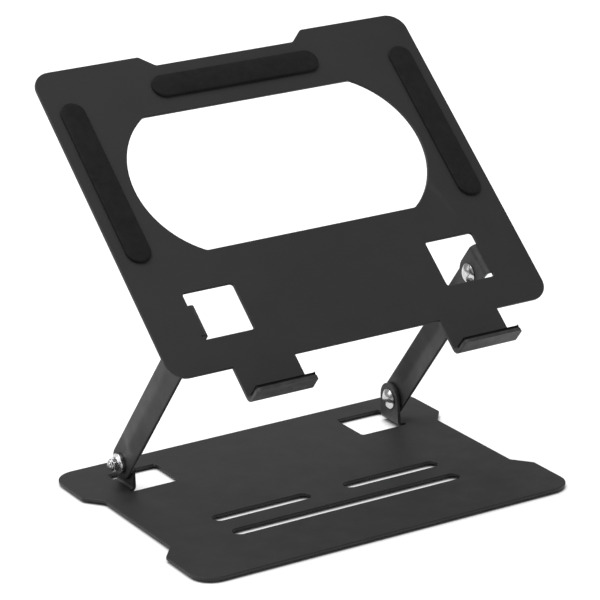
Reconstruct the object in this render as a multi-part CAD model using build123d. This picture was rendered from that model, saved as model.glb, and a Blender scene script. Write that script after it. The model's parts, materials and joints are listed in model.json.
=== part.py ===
from build123d import *
import os

# Folding stand for a laptop or tablet, in millimetres.
# X runs to the right, Y to the rear and Z up. The origin lies on the desk, under the middle of the base.
# Everything left is the mirror image of everything right, about the plane X = 0.

# ---- sheet metal ----
SHEET = 2.0             # base plate and top plate
BEND = 1.5              # inner radius of the bends at the ears
EDGE = 0.5              # broken edge of the coated sheet

# ---- base plate ----
BASE_W = 260.0
BASE_D = 195.6
BASE_CORNER = 14.5
FOOT_T = 1.5
FOOT_R = 9.0
FOOT_INSET = 19.0
SIDE_RECESS = 9.5       # depth of the long recess in each side
RECESS_OUTER = 54.3     # half length of the recess at the side's edge
RECESS_INNER = 41.8     # half length of the recess at its bottom
RECESS_ROUND = 2.5

# ---- windows that the ears are cut and bent from ----
WINDOW_IN = 66.5        # distance of the inner edge from the middle
WINDOW_OUT = 100.0
WINDOW_AHEAD = 13.5     # from the ear's middle line to the window's near end
WINDOW_BEHIND = 19.0
WINDOW_ROUND = 2.0

# ---- slots near the front ----
SLOT_W = 9.4
SLOT_REACH = 79.8       # distance of the slots' outer ends from the middle
SLOT_GAP = 12.3         # distance of the short slots' inner ends from the middle
LONG_SLOT_Y = -45.2
SHORT_SLOT_Y = -20.4

# ---- ears and hinges ----
EAR_X = 95.2            # inner face of an ear
EAR_R = 10.4
AXIS_RISE = 14.3        # from the sheet's face to the hinge axis
HINGE_Y = 59.8          # lower hinge axis
ROOT_LAP = 2.0          # how far an ear's root runs on into the sheet
SHANK_R = 2.5
FIT = 0.05              # radial clearance of every hole around a shank
SLIDE = 0.1             # axial clearance on each side of an arm
FRICTION_WASHER_R = 9.0
FRICTION_WASHER_T = 0.4
DISC_WASHER_R = 6.5
DISC_WASHER_T = 2.4
HEAD_R = 6.6
HEAD_H = 3.3
HEAD_RIM = 0.6          # height of the straight rim under the domed head
NUT_ACROSS = 8.0        # across flats
NUT_HEX_H = 4.0
NUT_COLLAR_R = 3.6
NUT_COLLAR_H = 1.2
TIP_PROUD = 0.8         # how far the screw's tip stands out of the nut
TIP_CHAMFER = 0.5

# ---- arms ----
ARM_T = 2.0
ARM_LENGTH = 146.3      # between the two hinge axes
ARM_ANGLE = 130.8       # direction of the arms, from the rear, turning up
ARM_R = 10.7            # half width, and radius of the round ends
ARM_CREASE = 1.6        # how far the strip's middle line stands out from its edges
CREASE_START = 13.0     # distance from an axis where the flat end stops
CREASE_FULL = 24.0      # distance from an axis where the crease is fully formed

# ---- top plate: distances are measured down from its top edge ----
PLATE_W = 260.0
PLATE_H = 220.0
PLATE_TILT = 40.6       # from the desk
PLATE_CORNER = 12.0
PLATE_HINGE = 185.1     # upper hinge axis
NOTCH_DEPTH = 8.0
NOTCH_OUTER = 57.0
NOTCH_INNER = 48.0
NOTCH_ROUND = 3.0
OPENING_TOP = 43.0
OPENING_BOTTOM = 141.0
OPENING_HALF = 72.0     # half width at its straight edges
OPENING_BULGE = 98.7    # half width at mid height
OPENING_ROUND = 4.0

# ---- lips that the device stands on ----
LIP_X = 70.2
LIP_W = 40.6
LIP_DROP = 245.0        # underside of the lips
LIP_REACH = 13.5        # from the plate's front face
LIP_BEND = 3.0
NECK_LAP = 8.0          # how far a lip's neck runs on into the plate
LIP_TIP_ROUND = 2.5
LIP_PAD_T = 2.0
LIP_PAD_MARGIN = 1.2

# ---- pads on the top plate ----
PAD_L = 116.0
PAD_W = 16.0
PAD_T = 2.0
TOP_PAD_DOWN = 24.2     # middle of the top pad
SIDE_PAD_X = 114.6
SIDE_PAD_TOP = 25.0

# ---- worked out from the above ----
BASE_TOP = FOOT_T + SHEET
EAR_OUT = EAR_X + SHEET
BEND_X = EAR_OUT + BEND
ARM_X = EAR_OUT + FRICTION_WASHER_T + SLIDE
DISC_WASHER_X = ARM_X + ARM_T + SLIDE
NUT_X = DISC_WASHER_X + DISC_WASHER_T
TIP_X = NUT_X + NUT_HEX_H + NUT_COLLAR_H + TIP_PROUD
LOWER_AXIS_Z = BASE_TOP + AXIS_RISE
FACE_RISE = AXIS_RISE + SHEET       # from the upper axis to the top plate's front face

LOWER_HINGE = Pos(0, HINGE_Y, LOWER_AXIS_Z)
ARM_PLACE = LOWER_HINGE * Rot(X=ARM_ANGLE)
UPPER_HINGE = ARM_PLACE * Pos(0, ARM_LENGTH, 0) * Rot(X=-ARM_ANGLE)
PLATE_PLACE = UPPER_HINGE * Rot(X=PLATE_TILT)


def polygon(points):
    """A flat face inside straight edges."""
    return make_face(Polyline(*points, close=True))


def round_corners(face, radius, wanted):
    """Round the corners of a face that the test picks by place."""
    corners = [v for v in face.vertices() if wanted(v.X, v.Y)]
    return fillet(corners, radius)


def mirrored(shape):
    """The left-hand copy of a right-hand shape."""
    return mirror(shape, about=Plane.YZ)


def both_sides(shape):
    return shape + mirrored(shape)


def soften(solid, radius):
    """Break the long edges of a flat sheet, on both of its faces."""
    by_height = solid.faces().sort_by(Axis.Z)
    rims = by_height[0].edges() + by_height[-1].edges()
    return fillet(rims, radius)


def disc_x(radius, start, end):
    """A round bar along X, from start to end."""
    bar = Cylinder(radius, end - start, rotation=(0, 90, 0))
    return Pos((start + end) / 2, 0, 0) * bar


def shank_hole(start, end):
    """What a screw's shank needs to pass through a sheet or washer lying between two places along X."""
    return disc_x(SHANK_R + FIT, start - 1, end + 1)


def window(near_end, far_end):
    """The right-hand window outline, between two places along Y."""
    blank = RectangleRounded(WINDOW_OUT - WINDOW_IN, far_end - near_end, WINDOW_ROUND)
    return Pos((WINDOW_IN + WINDOW_OUT) / 2, (near_end + far_end) / 2) * blank


def ear():
    """A right-hand ear around the hinge axis: the sheet it grows from lies below, its face AXIS_RISE down."""
    low = -AXIS_RISE - SHEET
    bend_z = BEND - AXIS_RISE
    upright = Pos((EAR_X + EAR_OUT) / 2, 0, (bend_z + EAR_R) / 2) * Box(SHEET, 2 * EAR_R, EAR_R - bend_z)
    ring = Pos(BEND_X, 0, bend_z) * Cylinder(BEND + SHEET, 2 * EAR_R, rotation=(90, 0, 0))
    ring -= Pos(BEND_X, 0, bend_z) * Cylinder(BEND, 2 * EAR_R, rotation=(90, 0, 0))
    quarter = Pos((EAR_X + BEND_X) / 2, 0, (low + bend_z) / 2)
    ring &= quarter * Box(BEND_X - EAR_X, 2 * EAR_R, bend_z - low)
    root_l = WINDOW_OUT + ROOT_LAP - BEND_X
    root = Pos(BEND_X + root_l / 2, 0, low + SHEET / 2) * Box(root_l, 2 * EAR_R, SHEET)
    tall = Pos(0, -EAR_R) * Rectangle(2 * EAR_R, 2 * EAR_R) + Circle(EAR_R)
    trim = extrude(Plane.YZ.offset(EAR_X) * tall, root_l + BEND_X - EAR_X)
    return (upright + ring + root) & trim - shank_hole(EAR_X, EAR_OUT)


def base_plate():
    w = BASE_W / 2
    d = BASE_D / 2
    bottom = w - SIDE_RECESS
    right = [(w, -d), (w, -RECESS_OUTER), (bottom, -RECESS_INNER), (bottom, RECESS_INNER), (w, RECESS_OUTER), (w, d)]
    left = [(-x, y) for x, y in reversed(right)]
    outline = polygon(right + left)
    outline = round_corners(outline, BASE_CORNER, lambda x, y: abs(y) > d - 1)
    outline = round_corners(outline, RECESS_ROUND, lambda x, y: abs(y) < RECESS_OUTER + 1)
    windows = both_sides(window(HINGE_Y - WINDOW_AHEAD, HINGE_Y + WINDOW_BEHIND))
    long_slot = Pos(0, LONG_SLOT_Y) * SlotOverall(2 * SLOT_REACH, SLOT_W)
    short_slot = Pos((SLOT_REACH + SLOT_GAP) / 2, SHORT_SLOT_Y) * SlotOverall(SLOT_REACH - SLOT_GAP, SLOT_W)
    sheet = extrude(outline - windows - long_slot - both_sides(short_slot), SHEET)
    sheet = Pos(0, 0, FOOT_T) * soften(sheet, EDGE)
    return sheet + both_sides(LOWER_HINGE * ear())


def foot(side, end):
    x = side * (BASE_W / 2 - FOOT_INSET)
    y = end * (BASE_D / 2 - FOOT_INSET)
    pad = Pos(x, y, FOOT_T / 2) * Cylinder(FOOT_R, FOOT_T)
    return fillet(pad.edges().sort_by(Axis.Z)[0], EDGE)


def arm_section(station, crease):
    """The arm's cross-section at a distance from the lower axis, its middle line standing out by crease."""
    corners = [
        (ARM_X, -ARM_R),
        (ARM_X + crease, 0),
        (ARM_X, ARM_R),
        (ARM_X + ARM_T, ARM_R),
        (ARM_X + ARM_T + crease, 0),
        (ARM_X + ARM_T, -ARM_R),
    ]
    plane = Plane(origin=(0, station, 0), x_dir=(1, 0, 0), z_dir=(0, -1, 0))
    return plane * polygon(corners)


def arm():
    """The right arm, lying along +Y from the lower axis: flat round ends and a creased strip between them."""
    end_blank = Circle(ARM_R) + Pos(0, CREASE_START / 2) * Rectangle(2 * ARM_R, CREASE_START)
    end_plane = Plane(origin=(ARM_X, 0, 0), x_dir=(0, 0, 1), z_dir=(1, 0, 0))
    end = extrude(end_plane * (Rot(Z=180) * end_blank), ARM_T) - shank_hole(ARM_X, ARM_X + ARM_T)
    far_end = Pos(0, ARM_LENGTH, 0) * mirror(end, about=Plane.XZ)
    far_full = ARM_LENGTH - CREASE_FULL
    near = loft([arm_section(CREASE_START, 0), arm_section(CREASE_FULL, ARM_CREASE)], ruled=True)
    strip = loft([arm_section(CREASE_FULL, ARM_CREASE), arm_section(far_full, ARM_CREASE)], ruled=True)
    far = loft([arm_section(far_full, ARM_CREASE), arm_section(ARM_LENGTH - CREASE_START, 0)], ruled=True)
    return end + near + strip + far + far_end


def screw():
    """A domed head inside the ear, and a shank that runs out through the arm and the nut."""
    crown = HEAD_H - HEAD_RIM
    dome_r = (HEAD_R ** 2 + crown ** 2) / (2 * crown)
    dome = Pos(EAR_X - HEAD_H + dome_r, 0, 0) * Sphere(dome_r)
    head = disc_x(HEAD_R, EAR_X - HEAD_H, EAR_X) & dome
    shank = disc_x(SHANK_R, EAR_X, TIP_X)
    tip = shank.edges().sort_by(Axis.X)[-1]
    return head + chamfer(tip, TIP_CHAMFER)


def lock_nut():
    """A hexagon nut with a round locking collar on its outer end."""
    collar_x = NUT_X + NUT_HEX_H
    end_x = collar_x + NUT_COLLAR_H
    blank = Plane.YZ.offset(NUT_X) * RegularPolygon(NUT_ACROSS / 2, 6, major_radius=False)
    collar = disc_x(NUT_COLLAR_R, collar_x, end_x)
    return extrude(blank, NUT_HEX_H) + collar - shank_hole(NUT_X, end_x)


def washer(radius, start, thickness):
    return disc_x(radius, start, start + thickness) - shank_hole(start, start + thickness)


def hinge_parts():
    """The loose pieces of a right-hand hinge, around an axis along X."""
    return {
        "screw": screw(),
        "friction_washer": washer(FRICTION_WASHER_R, EAR_OUT, FRICTION_WASHER_T),
        "disc_washer": washer(DISC_WASHER_R, DISC_WASHER_X, DISC_WASHER_T),
        "lock_nut": lock_nut(),
    }


def down(distance):
    """Height above the upper axis of a place on the top plate, given down from its top edge."""
    return PLATE_HINGE - distance


def lip():
    """A right-hand lip: a neck in the plate's plane, a bend and a shelf standing forward."""
    front = FACE_RISE
    back = front - SHEET
    bend_y = down(LIP_DROP) + SHEET + LIP_BEND
    bend_z = front + LIP_BEND
    neck_l = down(PLATE_H) - bend_y + NECK_LAP
    neck = Pos(LIP_X, bend_y + neck_l / 2, (front + back) / 2) * Box(LIP_W, neck_l, SHEET)
    ring = Pos(LIP_X, bend_y, bend_z) * Cylinder(LIP_BEND + SHEET, LIP_W, rotation=(0, 90, 0))
    ring -= Pos(LIP_X, bend_y, bend_z) * Cylinder(LIP_BEND, LIP_W, rotation=(0, 90, 0))
    size = LIP_BEND + SHEET
    ring &= Pos(LIP_X, bend_y - size / 2, bend_z - size / 2) * Box(LIP_W, size, size)
    shelf_l = LIP_REACH - LIP_BEND
    shelf = Pos(LIP_X, bend_y - LIP_BEND - SHEET / 2, bend_z + shelf_l / 2) * Box(LIP_W, SHEET, shelf_l)
    tips = shelf.edges().filter_by(Axis.Y).group_by(Axis.Z)[-1]
    return neck + ring + fillet(tips, LIP_TIP_ROUND)


def top_plate_outline():
    w = PLATE_W / 2
    top = down(0)
    bottom = down(PLATE_H)
    notch = down(NOTCH_DEPTH)
    points = [(-w, bottom), (w, bottom), (w, top), (NOTCH_OUTER, top), (NOTCH_INNER, notch)]
    points += [(-NOTCH_INNER, notch), (-NOTCH_OUTER, top), (-w, top)]
    outline = polygon(points)
    outline = round_corners(outline, PLATE_CORNER, lambda x, y: abs(x) > w - 1)
    return round_corners(outline, NOTCH_ROUND, lambda x, y: abs(x) < NOTCH_OUTER + 1)


def top_plate_opening():
    upper = down(OPENING_TOP)
    lower = down(OPENING_BOTTOM)
    middle = (upper + lower) / 2
    edge = Line((-OPENING_HALF, upper), (OPENING_HALF, upper))
    edge += ThreePointArc((OPENING_HALF, upper), (OPENING_BULGE, middle), (OPENING_HALF, lower))
    edge += Line((OPENING_HALF, lower), (-OPENING_HALF, lower))
    edge += ThreePointArc((-OPENING_HALF, lower), (-OPENING_BULGE, middle), (-OPENING_HALF, upper))
    opening = make_face(edge)
    return fillet(opening.vertices(), OPENING_ROUND)


def top_plate():
    windows = both_sides(window(-WINDOW_AHEAD, WINDOW_BEHIND))
    sheet = extrude(top_plate_outline() - top_plate_opening() - windows, SHEET)
    sheet = Pos(0, 0, FACE_RISE - SHEET) * soften(sheet, EDGE)
    ears = both_sides(mirror(ear(), about=Plane.XY))
    return sheet + ears + both_sides(lip())


def pad(length):
    """A flat pad with round ends, lying along X on the top plate's front face."""
    blank = Pos(0, 0, FACE_RISE) * extrude(SlotOverall(length, PAD_W), PAD_T)
    return fillet(blank.faces().sort_by(Axis.Z)[-1].edges(), EDGE)


def lip_pad():
    """A strip on the upper face of a right-hand lip's shelf."""
    shelf_top = down(LIP_DROP) + SHEET
    depth = LIP_REACH - LIP_BEND - LIP_PAD_MARGIN
    middle_z = FACE_RISE + LIP_BEND + depth / 2
    strip = Box(LIP_W - 2 * LIP_PAD_MARGIN, LIP_PAD_T, depth)
    return Pos(LIP_X, shelf_top + LIP_PAD_T / 2, middle_z) * strip


def build():
    parts = {"base_plate": base_plate()}
    for side, side_name in ((-1, "left"), (1, "right")):
        for end, end_name in ((-1, "front"), (1, "rear")):
            parts[f"{end_name}_{side_name}_foot"] = foot(side, end)
    parts["right_arm"] = ARM_PLACE * arm()
    for place, level in ((LOWER_HINGE, "lower"), (UPPER_HINGE, "upper")):
        for name, shape in hinge_parts().items():
            parts[f"{level}_right_{name}"] = place * shape
    parts["top_plate"] = PLATE_PLACE * top_plate()
    parts["top_pad"] = PLATE_PLACE * Pos(0, down(TOP_PAD_DOWN), 0) * pad(PAD_L)
    side_pad_y = down(SIDE_PAD_TOP + PAD_L / 2)
    parts["right_pad"] = PLATE_PLACE * Pos(SIDE_PAD_X, side_pad_y, 0) * Rot(Z=90) * pad(PAD_L)
    parts["right_lip_pad"] = PLATE_PLACE * lip_pad()
    for name in [key for key in parts if "right" in key and "foot" not in key]:
        parts[name.replace("right", "left")] = mirrored(parts[name])
    return parts


os.makedirs("parts", exist_ok=True)
for part_name, part_shape in build().items():
    export_step(part_shape, f"parts/{part_name}.step")
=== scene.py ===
import json
import math

import bmesh
import bpy
from mathutils import Matrix, Vector


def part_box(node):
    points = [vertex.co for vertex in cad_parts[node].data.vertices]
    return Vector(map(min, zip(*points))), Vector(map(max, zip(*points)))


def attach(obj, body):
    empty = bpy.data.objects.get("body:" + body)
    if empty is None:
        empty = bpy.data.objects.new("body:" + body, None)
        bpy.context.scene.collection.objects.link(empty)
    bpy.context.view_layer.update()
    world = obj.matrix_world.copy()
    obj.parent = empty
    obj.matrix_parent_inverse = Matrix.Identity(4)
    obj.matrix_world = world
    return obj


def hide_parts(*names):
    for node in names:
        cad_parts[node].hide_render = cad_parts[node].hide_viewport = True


# A folding sheet-metal laptop stand. Metres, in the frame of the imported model.
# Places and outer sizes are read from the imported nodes. The values below are the details that a node's
# box doesn't give, such as rounded edges, threads and the arms' section.

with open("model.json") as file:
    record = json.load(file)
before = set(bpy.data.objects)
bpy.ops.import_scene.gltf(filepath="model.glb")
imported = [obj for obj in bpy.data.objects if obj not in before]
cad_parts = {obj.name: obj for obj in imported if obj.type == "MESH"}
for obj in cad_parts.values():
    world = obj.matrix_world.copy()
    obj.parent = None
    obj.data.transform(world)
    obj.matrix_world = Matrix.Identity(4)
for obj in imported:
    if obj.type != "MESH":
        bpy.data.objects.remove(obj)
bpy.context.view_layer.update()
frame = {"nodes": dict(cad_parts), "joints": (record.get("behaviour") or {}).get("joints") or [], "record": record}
NODES = frame["nodes"]
RECORD = frame["record"]
SLOT_OF = {part["node"]: part["material_slot"] for part in RECORD["subparts"]}
BODY_OF = {node: body for body, nodes in RECORD["behaviour"]["bodies"].items() for node in nodes}
JOINTS = {joint["name"]: joint for joint in frame["joints"]}
LOWER_AXIS = Vector(JOINTS["arm_fold"]["pos_m"])
UPPER_AXIS = Vector(JOINTS["plate_tilt"]["pos_m"])
ARM_ALONG = (UPPER_AXIS - LOWER_AXIS).normalized()
ARM_LENGTH = (UPPER_AXIS - LOWER_AXIS).length
SIDES = {"left": -1, "right": 1}
LEVELS = {"lower": LOWER_AXIS, "upper": UPPER_AXIS}
ACROSS = Vector((1, 0, 0))

MM = 0.001

# ---- arms ----
ARM_SHEET = 2.0 * MM
ARM_HALF = 10.7 * MM            # half width, and radius of the round ends
ARM_TIP_HALF = 0.02 * ARM_HALF  # half width left where a round end closes
ARM_BULGE = 1.6 * MM            # how far the strip's middle stands out from its edges
ARM_RIDGE = 1.4 * MM            # half width of the rounded ridge along the middle
ARM_FLAT = 13.0 * MM            # flat stretch at each end, from the axis
ARM_FULL = 24.0 * MM            # from the axis to where the bulge is fully formed
ARM_ROUNDING = 0.45 * MM        # rounded edge of the coated strip
ARM_COLUMNS = 24                # quads across the strip
ARM_EDGE_STEPS = 6
ARM_END_STEPS = 16
ARM_STEPS = 48

# ---- screws, nuts and disc washers ----
PLATE_SHEET = 2.0 * MM
SLIDE = 0.1 * MM                # clearance on each side of an arm
SHANK_R = 2.5 * MM
BORE_R = 2.55 * MM
HEAD_RIM = 0.6 * MM             # straight rim of a domed head
HEAD_EDGE = 0.35 * MM
DOME_ROWS = 16
NUT_HEX = 4.0 * MM              # length of a nut's hexagon
NUT_CHAMFER = 0.45 * MM         # how far a nut's corners are turned off
COLLAR_R = 3.6 * MM
COLLAR_EDGE = 0.3 * MM
TIP_CHAMFER = 0.5 * MM
THREAD_PITCH = 0.8 * MM
THREAD_DEPTH = 0.25 * MM
THREAD_TURNS = 3
DISC_EDGE = 0.35 * MM
EDGE_STEPS = 4                  # steps around a washer's or a foot's rounded edge
TURNED_SEGMENTS = 96
WELD = 1e-7

# ---- pads and feet ----
PAD_EDGE = 0.9 * MM             # rounded rim of a pad
PAD_EDGE_STEPS = 5
PAD_END_STEPS = 20
PAD_CROWN = 0.25 * MM           # how far its middle stands above its rim
PAD_CROWN_SHARES = (0.35, 0.65, 0.9)
LIP_PAD_EDGE = 0.6 * MM
LIP_PAD_STEPS = 4
FOOT_EDGE = 0.5 * MM
FOOT_RIM = 0.8                  # where the dish begins, as a share of the foot's radius
FOOT_DISH = 0.35 * MM           # shallow suction dish under a foot
FOOT_DISH_SHARES = (0.72, 0.6, 0.35, 0.08)
FOOT_SEGMENTS = 48

# ---- stage and light ----
SMOOTH_LIMIT = math.radians(35.0)
FLOOR_SIZE = 6.0
FLOOR_CELLS = 8
FLOOR_GLOW = 0.62
FLOOR_PAINTED_SHADOW_REACH = 12.0 * MM   # how close something has to stand over the floor to get a painted shadow under it
WORLD_STRENGTH = 0.40
SUN_DIRECTION = Vector((0.25, -0.25, -1.0))
SUN_STRENGTH = 2.7
SUN_ANGLE = math.radians(60.0)
SOFTBOX_PLACE = Vector((-1.4, 0.6, 1.1))
SOFTBOX_TARGET = Vector((0.0, 0.0, 0.1))
SOFTBOX_SIDE = 1.0
SOFTBOX_POWER = 4.0

# ---- camera ----
CAMERA_AIM = Vector((0.03475, 0.0659, 0.0954))
CAMERA_DISTANCE = 1.936
CAMERA_AZIMUTH = math.radians(29.95)
CAMERA_ELEVATION = math.radians(18.78)
CAMERA_ROLL = math.radians(-1.79)
CAMERA_LENS = 184.4
CAMERA_SENSOR = 36.0
CAMERA_CLIP_END = 50.0


# ------------------------------------------------------------------ materials

class Nodes:
    """A short way to write a material's node tree."""

    def __init__(self, name):
        self.material = bpy.data.materials.new(name)
        self.material.use_nodes = True
        self.tree = self.material.node_tree
        self.shader = self.tree.nodes["Principled BSDF"]
        self.place = self.add("ShaderNodeTexCoord").outputs["Object"]

    def add(self, kind, **inputs):
        node = self.tree.nodes.new(kind)
        for key, value in inputs.items():
            node.inputs[key.replace("_", " ")].default_value = value
        return node

    def join(self, output, target):
        self.tree.links.new(output, target)

    def noise(self, scale, detail=2.0, roughness=0.5):
        node = self.add("ShaderNodeTexNoise", Scale=scale, Detail=detail, Roughness=roughness)
        self.join(self.place, node.inputs["Vector"])
        return node.outputs["Fac"]

    def cells(self, scale):
        node = self.add("ShaderNodeTexVoronoi", Scale=scale)
        self.join(self.place, node.inputs["Vector"])
        return node.outputs["Distance"]

    def spread(self, value, low, high, start=0.0, end=1.0):
        """Map value's stretch from start to end onto low to high."""
        node = self.add("ShaderNodeMapRange")
        self.join(value, node.inputs["Value"])
        for key, number in (("From Min", start), ("From Max", end), ("To Min", low), ("To Max", high)):
            node.inputs[key].default_value = number
        return node.outputs["Result"]

    def mix(self, share, first, second):
        """Mix two colours. A colour mix has its factor at input 0 and its colours at inputs 6 and 7."""
        node = self.tree.nodes.new("ShaderNodeMix")
        node.data_type = "RGBA"
        self.join(share, node.inputs[0])
        for socket, colour in ((node.inputs[6], first), (node.inputs[7], second)):
            if isinstance(colour, tuple):
                socket.default_value = (*colour, 1.0)
            else:
                self.join(colour, socket)
        return node.outputs[2]

    def maths(self, operation, first, second):
        node = self.tree.nodes.new("ShaderNodeMath")
        node.operation = operation
        for socket, value in zip(node.inputs, (first, second)):
            if isinstance(value, (int, float)):
                socket.default_value = value
            else:
                self.join(value, socket)
        return node.outputs[0]

    def rounded(self, radius):
        """The surface normal with its sharp edges rounded."""
        node = self.add("ShaderNodeBevel", Radius=radius)
        node.samples = 6
        return node.outputs["Normal"]

    def bump(self, height, strength, distance, normal=None):
        node = self.add("ShaderNodeBump", Strength=strength, Distance=distance)
        self.join(height, node.inputs["Height"])
        if normal is not None:
            self.join(normal, node.inputs["Normal"])
        return node.outputs["Normal"]

    def edges(self):
        """Where the surface turns outward: 0 on flats and 1 on edges, which get a painted edge highlight and are
        partly worn.
        """
        node = self.tree.nodes.new("ShaderNodeNewGeometry")
        return self.spread(node.outputs["Pointiness"], 0.0, 1.0, 0.52, 0.62)

    def set(self, **inputs):
        for key, value in inputs.items():
            self.shader.inputs[key.replace("_", " ")].default_value = value

    def finish(self, colour, roughness, normal):
        self.join(colour, self.shader.inputs["Base Color"])
        self.join(roughness, self.shader.inputs["Roughness"])
        self.join(normal, self.shader.inputs["Normal"])
        return self.material


def powder_coat():
    """Charcoal powder coat: a fine orange-peel grain, faint clouding and lighter edges, partly worn coat and
    partly a painted edge highlight.
    """
    n = Nodes("charcoal_powder_coat")
    dark = (0.0125, 0.0125, 0.0130)
    light = (0.0155, 0.0155, 0.0161)
    fleck = (0.036, 0.036, 0.037)
    # painted edge highlight, partly worn coat: the lighter colour given to the edges
    rubbed_edge_highlight = (0.07, 0.07, 0.073)
    body = n.mix(n.spread(n.noise(9.0, 3.0), 0.0, 1.0, 0.35, 0.65), dark, light)
    body = n.mix(n.spread(n.noise(2600.0, 2.0, 0.6), 0.0, 0.35, 0.55, 0.75), body, fleck)
    # painted edge highlight: outward edges are lightened in patches, partly a painted highlight and partly worn
    # coat
    edge_highlight_and_wear = n.maths("MULTIPLY", n.edges(), n.spread(n.noise(160.0, 4.0), 0.1, 0.5, 0.4, 0.7))
    body = n.mix(edge_highlight_and_wear, body, rubbed_edge_highlight)
    rough = n.spread(n.noise(60.0, 3.0), 0.46, 0.58, 0.3, 0.7)
    peel = n.maths("ADD", n.noise(900.0, 2.0), n.maths("MULTIPLY", n.noise(2600.0, 2.0), 0.5))
    n.set(Specular_IOR_Level=0.36, IOR=1.5)
    return n.finish(body, rough, n.bump(peel, 0.35, 0.12 * MM, n.rounded(0.4 * MM)))


def pad_rubber():
    """Near-black moulded silicone: a fine matt pebble and a little dust."""
    n = Nodes("black_silicone")
    clean = (0.0042, 0.0042, 0.0045)
    dusty = (0.0075, 0.0075, 0.0078)
    body = n.mix(n.spread(n.noise(70.0, 5.0, 0.65), 0.0, 1.0, 0.45, 0.75), clean, dusty)
    rough = n.spread(n.noise(220.0, 3.0), 0.62, 0.8, 0.3, 0.7)
    pebble = n.maths("ADD", n.cells(1500.0), n.noise(3200.0, 1.0))
    n.set(Specular_IOR_Level=0.16, Sheen_Weight=0.03, Sheen_Roughness=0.5)
    return n.finish(body, rough, n.bump(pebble, 0.4, 0.15 * MM))


def foot_rubber():
    """Black foot rubber, scuffed grey where it slides on the desk."""
    n = Nodes("foot_rubber")
    black = (0.012, 0.012, 0.012)
    scuffed = (0.035, 0.034, 0.033)
    body = n.mix(n.spread(n.noise(400.0, 5.0, 0.7), 0.0, 0.8, 0.5, 0.8), black, scuffed)
    rough = n.spread(n.noise(150.0, 3.0), 0.7, 0.9, 0.3, 0.7)
    n.set(Specular_IOR_Level=0.3)
    return n.finish(body, rough, n.bump(n.noise(1800.0, 3.0), 0.4, 0.2 * MM))


def bright_steel():
    """Nickel-plated steel: a fine turned grain and light smudges."""
    n = Nodes("nickel_plated_steel")
    bright = (0.60, 0.60, 0.61)
    smudged = (0.46, 0.46, 0.47)
    body = n.mix(n.spread(n.noise(500.0, 4.0), 0.0, 1.0, 0.35, 0.7), bright, smudged)
    rough = n.spread(n.noise(900.0, 3.0), 0.12, 0.26, 0.3, 0.7)
    n.set(Metallic=1.0)
    return n.finish(body, rough, n.bump(n.noise(2400.0, 2.0), 0.12, 0.04 * MM, n.rounded(0.15 * MM)))


def washer_plastic():
    """Black nylon of the friction washers."""
    n = Nodes("black_nylon")
    body = n.mix(n.noise(700.0, 3.0), (0.012, 0.012, 0.012), (0.022, 0.022, 0.022))
    rough = n.spread(n.noise(500.0, 3.0), 0.4, 0.55, 0.3, 0.7)
    n.set(Specular_IOR_Level=0.4)
    return n.finish(body, rough, n.bump(n.noise(1600.0, 2.0), 0.3, 0.1 * MM))


def studio_floor():
    """A pale, plain glowing sweep with the faintest mottling, with a painted shadow where something stands close
    over it: its emission is cut by ambient occlusion.
    """
    n = Nodes("pale_floor")
    body = n.mix(n.noise(1.5, 2.0), (0.50, 0.50, 0.50), (0.515, 0.515, 0.515))
    rough = n.spread(n.noise(3.0, 2.0), 0.85, 0.95)
    n.set(Specular_IOR_Level=0.05, Emission_Color=(1.0, 1.0, 1.0, 1.0))
    # painted shadow: the floor's emission is dimmed by ambient occlusion where something stands close over it
    painted_shadow_openness = n.add("ShaderNodeAmbientOcclusion", Distance=FLOOR_PAINTED_SHADOW_REACH).outputs["AO"]
    floor_glow_with_painted_shadow = n.maths("MULTIPLY", n.spread(painted_shadow_openness, 0.0, 1.0, 0.35, 0.75), FLOOR_GLOW)
    n.join(floor_glow_with_painted_shadow, n.shader.inputs["Emission Strength"])
    return n.finish(body, rough, n.bump(n.noise(400.0, 1.0), 0.02, 0.1 * MM))


MATERIALS = {
    "powder_coat": powder_coat(),
    "pad_rubber": pad_rubber(),
    "foot_rubber": foot_rubber(),
    "bright_steel": bright_steel(),
    "washer_plastic": washer_plastic(),
}


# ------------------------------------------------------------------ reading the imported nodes

def node_spans(node, axes):
    """How far a CAD node reaches along each of some directions, as (low, high) pairs."""
    points = [vertex.co.copy() for vertex in NODES[node].data.vertices]
    return [(min(p.dot(axis) for p in points), max(p.dot(axis) for p in points)) for axis in axes]


def reach(node):
    """How far a node's near and far ends are from the stand's middle plane."""
    return sorted(abs(corner.x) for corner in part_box(node))


def half_depth(node):
    """Half of a node's size along Y: the radius of a turned piece, or a nut's corner radius."""
    low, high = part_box(node)
    return (high.y - low.y) / 2


def plate_axes():
    """Unit vectors up the top plate and out of its front face, read from the plate's largest face."""
    largest = max(NODES["top_plate"].data.polygons, key=lambda face: face.area)
    normal = Vector(largest.normal)
    if normal.z < 0:
        normal.negate()
    up = normal.cross(ACROSS)
    if up.z < 0:
        up.negate()
    return up.normalized(), normal.normalized()


PLATE_UP, PLATE_OUT = plate_axes()


# ------------------------------------------------------------------ mesh helpers

def smooth_by_angle(mesh):
    """Shade a mesh smooth except across its sharp edges."""
    mesh.shade_smooth()
    work = bmesh.new()
    work.from_mesh(mesh)
    for edge in work.edges:
        edge.smooth = len(edge.link_faces) == 2 and edge.calc_face_angle() < SMOOTH_LIMIT
    work.to_mesh(mesh)
    work.free()


def new_piece(name, work, node):
    """Make a piece from a bmesh in the row frame: it stands for a CAD node and rides on that node's body."""
    bmesh.ops.recalc_face_normals(work, faces=work.faces)
    mesh = bpy.data.meshes.new(name)
    work.to_mesh(mesh)
    work.free()
    smooth_by_angle(mesh)
    piece = bpy.data.objects.new(name, mesh)
    bpy.context.scene.collection.objects.link(piece)
    mesh.materials.append(MATERIALS[SLOT_OF[node]])
    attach(piece, BODY_OF[node])
    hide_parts(node)
    return piece


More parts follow.
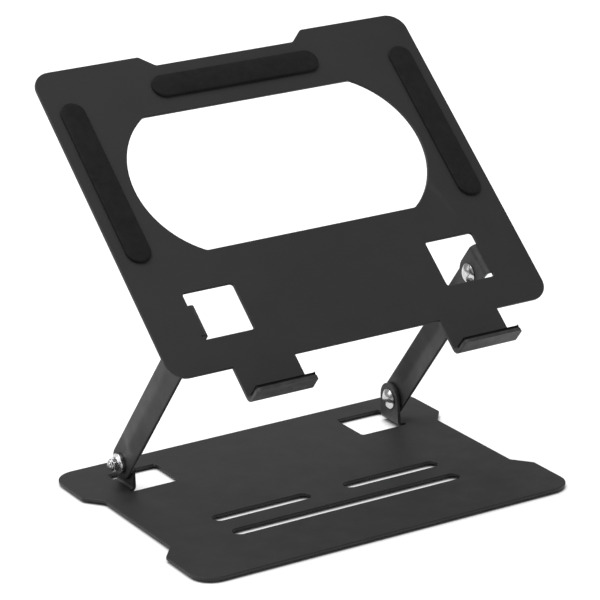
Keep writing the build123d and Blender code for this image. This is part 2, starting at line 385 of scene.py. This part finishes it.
def skin_rings(work, rings, capped=True):
    """Join closed rings of points, all with the same count, into a surface."""
    loops = [[work.verts.new(point) for point in ring] for ring in rings]
    for first, second in zip(loops, loops[1:]):
        for i in range(len(first)):
            j = (i + 1) % len(first)
            work.faces.new((first[i], first[j], second[j], second[i]))
    if capped:
        work.faces.new(loops[0])
        work.faces.new(list(reversed(loops[-1])))


def quarter_round(edge, steps, first=0):
    """Pairs around a rounded edge: how far it has come in, and how much of its rise is left."""
    for i in range(first, steps + 1):
        angle = math.pi / 2 * i / steps
        yield edge * (1 - math.cos(angle)), edge * (1 - math.sin(angle))


# ------------------------------------------------------------------ carried-over CAD nodes

for node, item in NODES.items():
    item.data.materials.clear()
    item.data.materials.append(MATERIALS[SLOT_OF[node]])


# ------------------------------------------------------------------ pads

def stadium(half_length, radius, inset, height):
    """A ring of points around a strip with round ends, pulled in by inset."""
    r = radius - inset
    straight = half_length - radius
    points = []
    for end, start in ((1, 0.0), (-1, math.pi)):
        for i in range(PAD_END_STEPS + 1):
            angle = math.pi * (i / PAD_END_STEPS - 0.5) + start
            points.append(Vector((end * straight + r * math.cos(angle), r * math.sin(angle), height)))
    return points


def rim_profile(thickness, width):
    """(inset, height) pairs up a pad's side, over its rounded rim and in towards its crowned middle."""
    shoulder = thickness - PAD_CROWN
    profile = [(0.0, 0.0), (0.0, (shoulder - PAD_EDGE) / 2)]
    profile += [(inset, shoulder - left) for inset, left in quarter_round(PAD_EDGE, PAD_EDGE_STEPS)]
    for share in PAD_CROWN_SHARES:
        inset = PAD_EDGE + (width / 2 - PAD_EDGE) * share
        profile.append((inset, shoulder + PAD_CROWN * math.sin(math.pi / 2 * share)))
    return profile


def pad(node, along):
    """A moulded pad in the space of its CAD node, with its long side along a direction."""
    axes = (along, PLATE_OUT.cross(along), PLATE_OUT)
    turn = Matrix(axes).transposed()
    (start, end), (bottom, top), (back, front) = node_spans(node, axes)
    centre = turn @ Vector(((start + end) / 2, (bottom + top) / 2, back))
    width = top - bottom
    rings = []
    for inset, height in rim_profile(front - back, width):
        rings.append([centre + turn @ p for p in stadium((end - start) / 2, width / 2, inset, height)])
    work = bmesh.new()
    skin_rings(work, rings)
    piece = new_piece(node + "_silicone", work, node)


def lip_pad(node):
    """A rounded strip on a lip's shelf, in the space of its CAD node."""
    axes = (ACROSS, PLATE_OUT, PLATE_UP)
    turn = Matrix(axes).transposed()
    spans = node_spans(node, axes)
    work = bmesh.new()
    bmesh.ops.create_cube(work, size=1.0)
    for vertex in work.verts:
        place = [(low + high) / 2 + (high - low) * share for share, (low, high) in zip(vertex.co, spans)]
        vertex.co = turn @ Vector(place)
    bmesh.ops.bevel(
        work, geom=work.edges, offset=LIP_PAD_EDGE, segments=LIP_PAD_STEPS, affect="EDGES", profile=0.5
    )
    piece = new_piece(node + "_silicone", work, node)


pad("top_pad", ACROSS)
for side in SIDES:
    pad(side + "_pad", PLATE_UP)
for side in SIDES:
    lip_pad(side + "_lip_pad")


# ------------------------------------------------------------------ feet

def foot(node):
    """A round foot with a rounded edge and a shallow dish underneath."""
    low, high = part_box(node)
    centre = (low + high) / 2
    radius = (high.x - low.x) / 2
    profile = [(radius, high.z), (radius, low.z + FOOT_EDGE)]
    profile += [(radius - inset, low.z + left) for inset, left in quarter_round(FOOT_EDGE, EDGE_STEPS, 1)]
    profile.append((radius * FOOT_RIM, low.z))
    profile += [(radius * share, low.z + FOOT_DISH * (1 - share)) for share in FOOT_DISH_SHARES]
    angles = [2 * math.pi * i / FOOT_SEGMENTS for i in range(FOOT_SEGMENTS)]
    rings = []
    for r, z in profile:
        rings.append([Vector((centre.x + r * math.cos(a), centre.y + r * math.sin(a), z)) for a in angles])
    work = bmesh.new()
    skin_rings(work, rings)
    new_piece(node + "_rubber", work, node)


for end in ("front", "rear"):
    for side in SIDES:
        foot(f"{end}_{side}_foot")


# ------------------------------------------------------------------ screws, nuts and disc washers

def ring_x(x, radius, centre, corner=None):
    """A ring around an axis along X. With a corner radius it is a hexagon, cut to the ring's radius."""
    points = []
    for i in range(TURNED_SEGMENTS):
        angle = 2 * math.pi * i / TURNED_SEGMENTS
        r = radius
        if corner:
            off_flat = (angle + math.pi / 6) % (math.pi / 3) - math.pi / 6
            r = min(radius, corner * math.cos(math.pi / 6) / math.cos(off_flat))
        points.append(Vector((x, centre.y + r * math.cos(angle), centre.z + r * math.sin(angle))))
    return points


def lathe(node, rings, bored):
    """A turned piece. A bored one's last ring lies on its first, and the two are welded together."""
    work = bmesh.new()
    skin_rings(work, rings, capped=not bored)
    if bored:
        bmesh.ops.remove_doubles(work, verts=work.verts, dist=WELD)
    new_piece(node + "_turned", work, node)


def screw(node, centre, sign, seat):
    """A smooth domed head inside the ear and a shank outward from it, threaded where it stands out."""
    head, tip = reach(node)
    radius = half_depth(node)
    crown = seat - head - HEAD_RIM
    dome_r = (radius ** 2 + crown ** 2) / (2 * crown)
    profile = []
    for row in range(1, DOME_ROWS + 1):
        r = radius * row / DOME_ROWS
        profile.append((head + dome_r - math.sqrt(dome_r ** 2 - r ** 2), r))
    thread = tip - TIP_CHAMFER - THREAD_TURNS * THREAD_PITCH
    profile += [
        (seat - HEAD_EDGE / 2, radius),
        (seat, radius - HEAD_EDGE / 2),
        (seat, SHANK_R),
        (thread, SHANK_R),
    ]
    for _ in range(THREAD_TURNS):
        profile.append((thread + THREAD_PITCH / 2, SHANK_R - THREAD_DEPTH))
        thread += THREAD_PITCH
        profile.append((thread, SHANK_R))
    profile.append((tip, SHANK_R - TIP_CHAMFER))
    lathe(node, [ring_x(sign * x, r, centre) for x, r in profile], bored=False)


def lock_nut(node, centre, sign):
    """A hexagon nut with turned-off corners and a rounded locking collar, bored for the shank."""
    start, end = reach(node)
    corner = half_depth(node)
    hex_end = start + NUT_HEX
    hexagon = (
        (start, corner - NUT_CHAMFER),
        (start + NUT_CHAMFER / 2, corner),
        (hex_end - NUT_CHAMFER / 2, corner),
        (hex_end, corner - NUT_CHAMFER),
    )
    rounding = 0.3 * COLLAR_EDGE
    collar = (
        (hex_end, COLLAR_R),
        (end - COLLAR_EDGE, COLLAR_R),
        (end - rounding, COLLAR_R - rounding),
        (end, COLLAR_R - COLLAR_EDGE),
        (end, BORE_R),
        (start, BORE_R),
    )
    rings = [ring_x(sign * start, BORE_R, centre)]
    rings += [ring_x(sign * x, r, centre, corner) for x, r in hexagon]
    rings += [ring_x(sign * x, r, centre) for x, r in collar]
    lathe(node, rings, bored=True)


def disc_washer(node, centre, sign):
    """A thick turned washer with rounded rims."""
    start, end = reach(node)
    radius = half_depth(node)
    profile = [(start, BORE_R), (start, radius - DISC_EDGE)]
    profile += [(start + inset, radius - left) for inset, left in quarter_round(DISC_EDGE, EDGE_STEPS, 1)]
    profile += [(end - left, radius - inset) for inset, left in quarter_round(DISC_EDGE, EDGE_STEPS)]
    profile += [(end, BORE_R), (start, BORE_R)]
    lathe(node, [ring_x(sign * x, r, centre) for x, r in profile], bored=True)


def hinge(level, side):
    """The turned pieces of one hinge. Its friction washer stays as the CAD node."""
    name = f"{level}_{side}_"
    centre = LEVELS[level]
    sign = SIDES[side]
    seat = reach(name + "friction_washer")[0] - PLATE_SHEET
    screw(name + "screw", centre, sign, seat)
    lock_nut(name + "lock_nut", centre, sign)
    disc_washer(name + "disc_washer", centre, sign)


for level in LEVELS:
    for side in SIDES:
        hinge(level, side)


# ------------------------------------------------------------------ arms

def ridge_fall(across):
    """How far the rounded ridge has fallen away at a distance across from the middle line."""
    return math.sqrt(across ** 2 + ARM_RIDGE ** 2) - ARM_RIDGE


def arm_offset(station, across):
    """How far the arm's middle surface stands out at a place along it and across it: a soft ridge."""
    near = min(station, ARM_LENGTH - station)
    share = min(1.0, max(0.0, (near - ARM_FLAT) / (ARM_FULL - ARM_FLAT)))
    share = share * share * (3 - 2 * share)
    return share * ARM_BULGE * (1 - ridge_fall(across) / ridge_fall(ARM_HALF))


def arm(side):
    """A rounded strip with a shallow lengthwise bulge and flat round ends that the hinges pass through."""
    node = side + "_arm"
    inner = reach(f"lower_{side}_friction_washer")[1] + SLIDE
    width_axis = ACROSS.cross(ARM_ALONG).normalized()

    def place(station, across, depth):
        point = LOWER_AXIS + ARM_ALONG * station + width_axis * across
        return Vector((SIDES[side] * (inner + depth + arm_offset(station, across)), point.y, point.z))

    def section(station):
        """A ring around the strip, narrowed at a round end to follow the end's outline."""
        over = max(-station, station - ARM_LENGTH, 0.0)
        half = math.sqrt(max(ARM_HALF ** 2 - over ** 2, ARM_TIP_HALF ** 2))
        edge = min(ARM_ROUNDING, half / 2)
        ring = []
        for face, depth in ((1, 0.0), (-1, ARM_SHEET)):
            for i in range(ARM_COLUMNS + 1):
                share = face * (2 * i / ARM_COLUMNS - 1)
                ring.append(place(station, share * (half - edge), depth))
            for i in range(1, ARM_EDGE_STEPS):
                angle = math.pi * i / ARM_EDGE_STEPS
                across = face * (half - edge + edge * math.sin(angle))
                ring.append(place(station, across, ARM_SHEET / 2 * (1 - face * math.cos(angle))))
        return ring

    quarter = [math.pi / 2 * i / ARM_END_STEPS for i in range(ARM_END_STEPS + 1)]
    stations = [-ARM_HALF * math.cos(angle) for angle in quarter]
    stations += [ARM_LENGTH * i / ARM_STEPS for i in range(1, ARM_STEPS)]
    stations += [ARM_LENGTH + ARM_HALF * math.sin(angle) for angle in quarter]
    work = bmesh.new()
    skin_rings(work, [section(station) for station in stations])
    new_piece(node + "_strip", work, node)


for side in SIDES:
    arm(side)


# ------------------------------------------------------------------ stage, light and camera

def make_floor():
    work = bmesh.new()
    bmesh.ops.create_grid(work, x_segments=FLOOR_CELLS, y_segments=FLOOR_CELLS, size=FLOOR_SIZE)
    mesh = bpy.data.meshes.new("studio_floor")
    work.to_mesh(mesh)
    work.free()
    floor = bpy.data.objects.new("studio_floor", mesh)
    bpy.context.scene.collection.objects.link(floor)
    mesh.materials.append(studio_floor())


def add_light(name, kind, strength, direction, position=(0.0, 0.0, 0.0)):
    """Add a light that shines along a direction, and return its data for the settings of its kind."""
    light = bpy.data.lights.new(name, kind)
    light.energy = strength
    item = bpy.data.objects.new(name, light)
    bpy.context.scene.collection.objects.link(item)
    item.location = position
    item.rotation_euler = direction.to_track_quat("-Z", "Y").to_euler()
    return light


def make_light():
    world = bpy.data.worlds.new("studio")
    world.use_nodes = True
    background = world.node_tree.nodes["Background"]
    background.inputs["Color"].default_value = (1.0, 1.0, 1.0, 1.0)
    background.inputs["Strength"].default_value = WORLD_STRENGTH
    bpy.context.scene.world = world
    sun = add_light("overhead_sun", "SUN", SUN_STRENGTH, SUN_DIRECTION)
    sun.angle = SUN_ANGLE
    aim = SOFTBOX_TARGET - SOFTBOX_PLACE
    softbox = add_light("left_softbox", "AREA", SOFTBOX_POWER, aim, SOFTBOX_PLACE)
    softbox.shape = "RECTANGLE"
    softbox.size = SOFTBOX_SIDE
    softbox.size_y = SOFTBOX_SIDE


def make_camera():
    forward = Vector((
        math.sin(CAMERA_AZIMUTH) * math.cos(CAMERA_ELEVATION),
        math.cos(CAMERA_AZIMUTH) * math.cos(CAMERA_ELEVATION),
        -math.sin(CAMERA_ELEVATION),
    ))
    level_right = forward.cross(Vector((0, 0, 1))).normalized()
    level_up = level_right.cross(forward)
    right = level_right * math.cos(CAMERA_ROLL) + level_up * math.sin(CAMERA_ROLL)
    up = right.cross(forward)
    data = bpy.data.cameras.new("photo_camera")
    data.lens = CAMERA_LENS
    data.sensor_width = CAMERA_SENSOR
    data.clip_end = CAMERA_CLIP_END
    camera = bpy.data.objects.new("photo_camera", data)
    bpy.context.scene.collection.objects.link(camera)
    turn = Matrix((right, up, -forward)).transposed().to_4x4()
    camera.matrix_world = Matrix.Translation(CAMERA_AIM - forward * CAMERA_DISTANCE) @ turn
    bpy.context.scene.camera = camera


make_floor()
make_light()
make_camera()
bpy.context.scene.view_settings.view_transform = "Standard"
